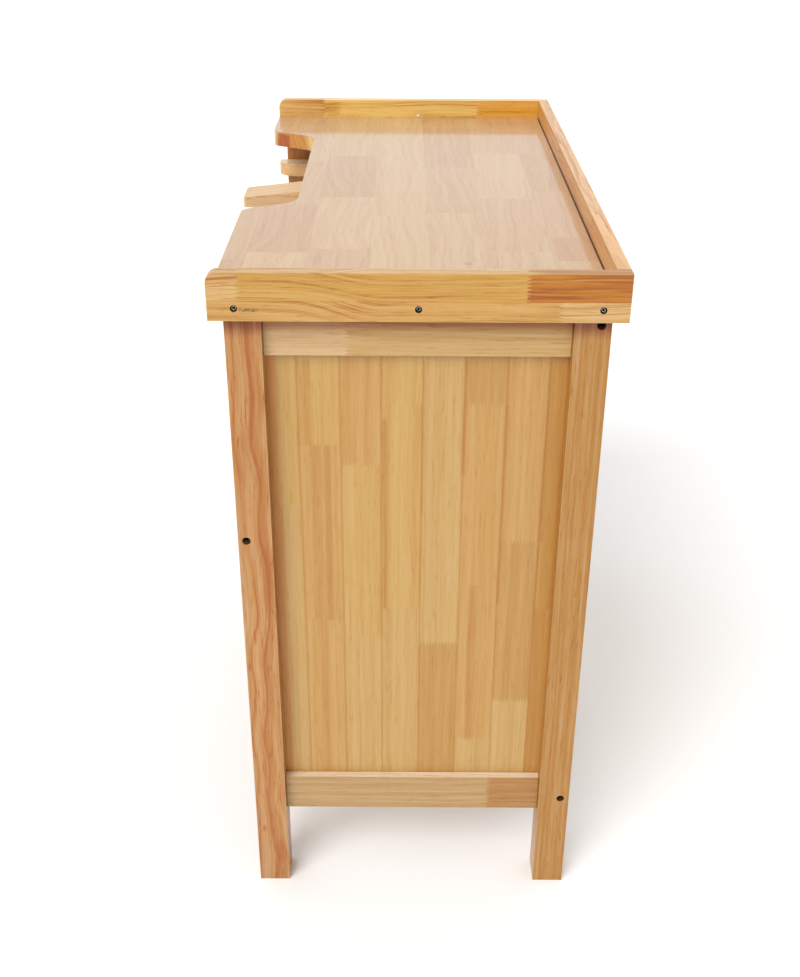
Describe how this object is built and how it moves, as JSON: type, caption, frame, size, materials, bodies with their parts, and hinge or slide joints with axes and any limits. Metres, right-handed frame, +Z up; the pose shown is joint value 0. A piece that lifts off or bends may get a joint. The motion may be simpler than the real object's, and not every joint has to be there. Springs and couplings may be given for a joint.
{
  "type": "jeweller's workbench",
  "caption": "Wooden jeweller's workbench with a curved front cut-out, bench pin, raised rim, pull-out arm rests, catch tray and drawers on panelled side frames.",
  "frame": {"origin": "centre of the overall footprint, bench pin included, on the floor", "axes": "+X to the user's right along the bench, +Y to the back, +Z up"},
  "size_m": [1, 0.525, 0.987],
  "materials": {
    "worktop_wood": "clear gloss varnish on pale edge-glued blocks",
    "rim_wood": "satin varnish",
    "leg_wood": "satin varnish",
    "rail_wood": "satin varnish",
    "panel_wood": "satin varnish on edge-glued staves",
    "cabinet_wood": "satin varnish",
    "drawer_wood": "satin varnish",
    "arm_rest_wood": "satin varnish",
    "pin_wood": "bare, finely sanded",
    "screw_steel": "zinc plated",
    "bolt_steel": "zinc plated"
  },
  "bodies": {
    "bench": {"worktop": "worktop_wood", "rim_left": "rim_wood", "rim_right": "rim_wood", "rim_back": "rim_wood", "leg_front_left": "leg_wood", "leg_front_right": "leg_wood", "leg_back_left": "leg_wood", "leg_back_right": "leg_wood", "side_rail_top_left": "rail_wood", "side_rail_top_right": "rail_wood", "side_rail_bottom_left": "rail_wood", "side_rail_bottom_right": "rail_wood", "side_panel_left": "panel_wood", "side_panel_right": "panel_wood", "back_rail_top": "rail_wood", "back_rail_bottom": "rail_wood", "back_panel": "panel_wood", "front_rail": "rail_wood", "cabinet_partition": "cabinet_wood", "cabinet_fascia": "cabinet_wood", "drawer_runner_top_left": "cabinet_wood", "drawer_runner_top_right": "cabinet_wood", "drawer_runner_middle_left": "cabinet_wood", "drawer_runner_middle_right": "cabinet_wood", "drawer_runner_bottom_left": "cabinet_wood", "drawer_runner_bottom_right": "cabinet_wood", "tray_runner_left": "cabinet_wood", "tray_runner_right": "cabinet_wood", "arm_rest_keepers_left": "arm_rest_wood", "arm_rest_keepers_right": "arm_rest_wood", "bench_pin": "pin_wood", "bench_pin_block": "pin_wood", "rim_screws": "screw_steel", "frame_bolts": "bolt_steel", "barrel_nuts": "bolt_steel"},
    "drawer_top": {"drawer_top_front": "drawer_wood", "drawer_top_side_left": "drawer_wood", "drawer_top_side_right": "drawer_wood", "drawer_top_back": "drawer_wood", "drawer_top_bottom": "drawer_wood", "drawer_top_knob": "drawer_wood"},
    "drawer_middle": {"drawer_middle_front": "drawer_wood", "drawer_middle_side_left": "drawer_wood", "drawer_middle_side_right": "drawer_wood", "drawer_middle_back": "drawer_wood", "drawer_middle_bottom": "drawer_wood", "drawer_middle_knob": "drawer_wood"},
    "drawer_bottom": {"drawer_bottom_front": "drawer_wood", "drawer_bottom_side_left": "drawer_wood", "drawer_bottom_side_right": "drawer_wood", "drawer_bottom_back": "drawer_wood", "drawer_bottom_bottom": "drawer_wood", "drawer_bottom_knob": "drawer_wood"},
    "catch_tray": {"tray_front": "drawer_wood", "tray_side_left": "drawer_wood", "tray_side_right": "drawer_wood", "tray_back": "drawer_wood", "tray_bottom": "drawer_wood"},
    "arm_rest_left": {"arm_rest_left": "arm_rest_wood"},
    "arm_rest_right": {"arm_rest_right": "arm_rest_wood"}
  },
  "joints": [
    {"name": "drawer_top_slide", "type": "slide", "parent": "bench", "child": "drawer_top", "axis": [0, -1, 0], "range_m": [0, 0.32]},
    {"name": "drawer_middle_slide", "type": "slide", "parent": "bench", "child": "drawer_middle", "axis": [0, -1, 0], "range_m": [0, 0.32]},
    {"name": "drawer_bottom_slide", "type": "slide", "parent": "bench", "child": "drawer_bottom", "axis": [0, -1, 0], "range_m": [0, 0.32]},
    {"name": "catch_tray_slide", "type": "slide", "parent": "bench", "child": "catch_tray", "axis": [0, -1, 0], "range_m": [0, 0.25]},
    {"name": "arm_rest_left_slide", "type": "slide", "parent": "bench", "child": "arm_rest_left", "axis": [0, -1, 0], "range_m": [0, 0.17]},
    {"name": "arm_rest_right_slide", "type": "slide", "parent": "bench", "child": "arm_rest_right", "axis": [0, -1, 0], "range_m": [0, 0.17]}
  ]
}
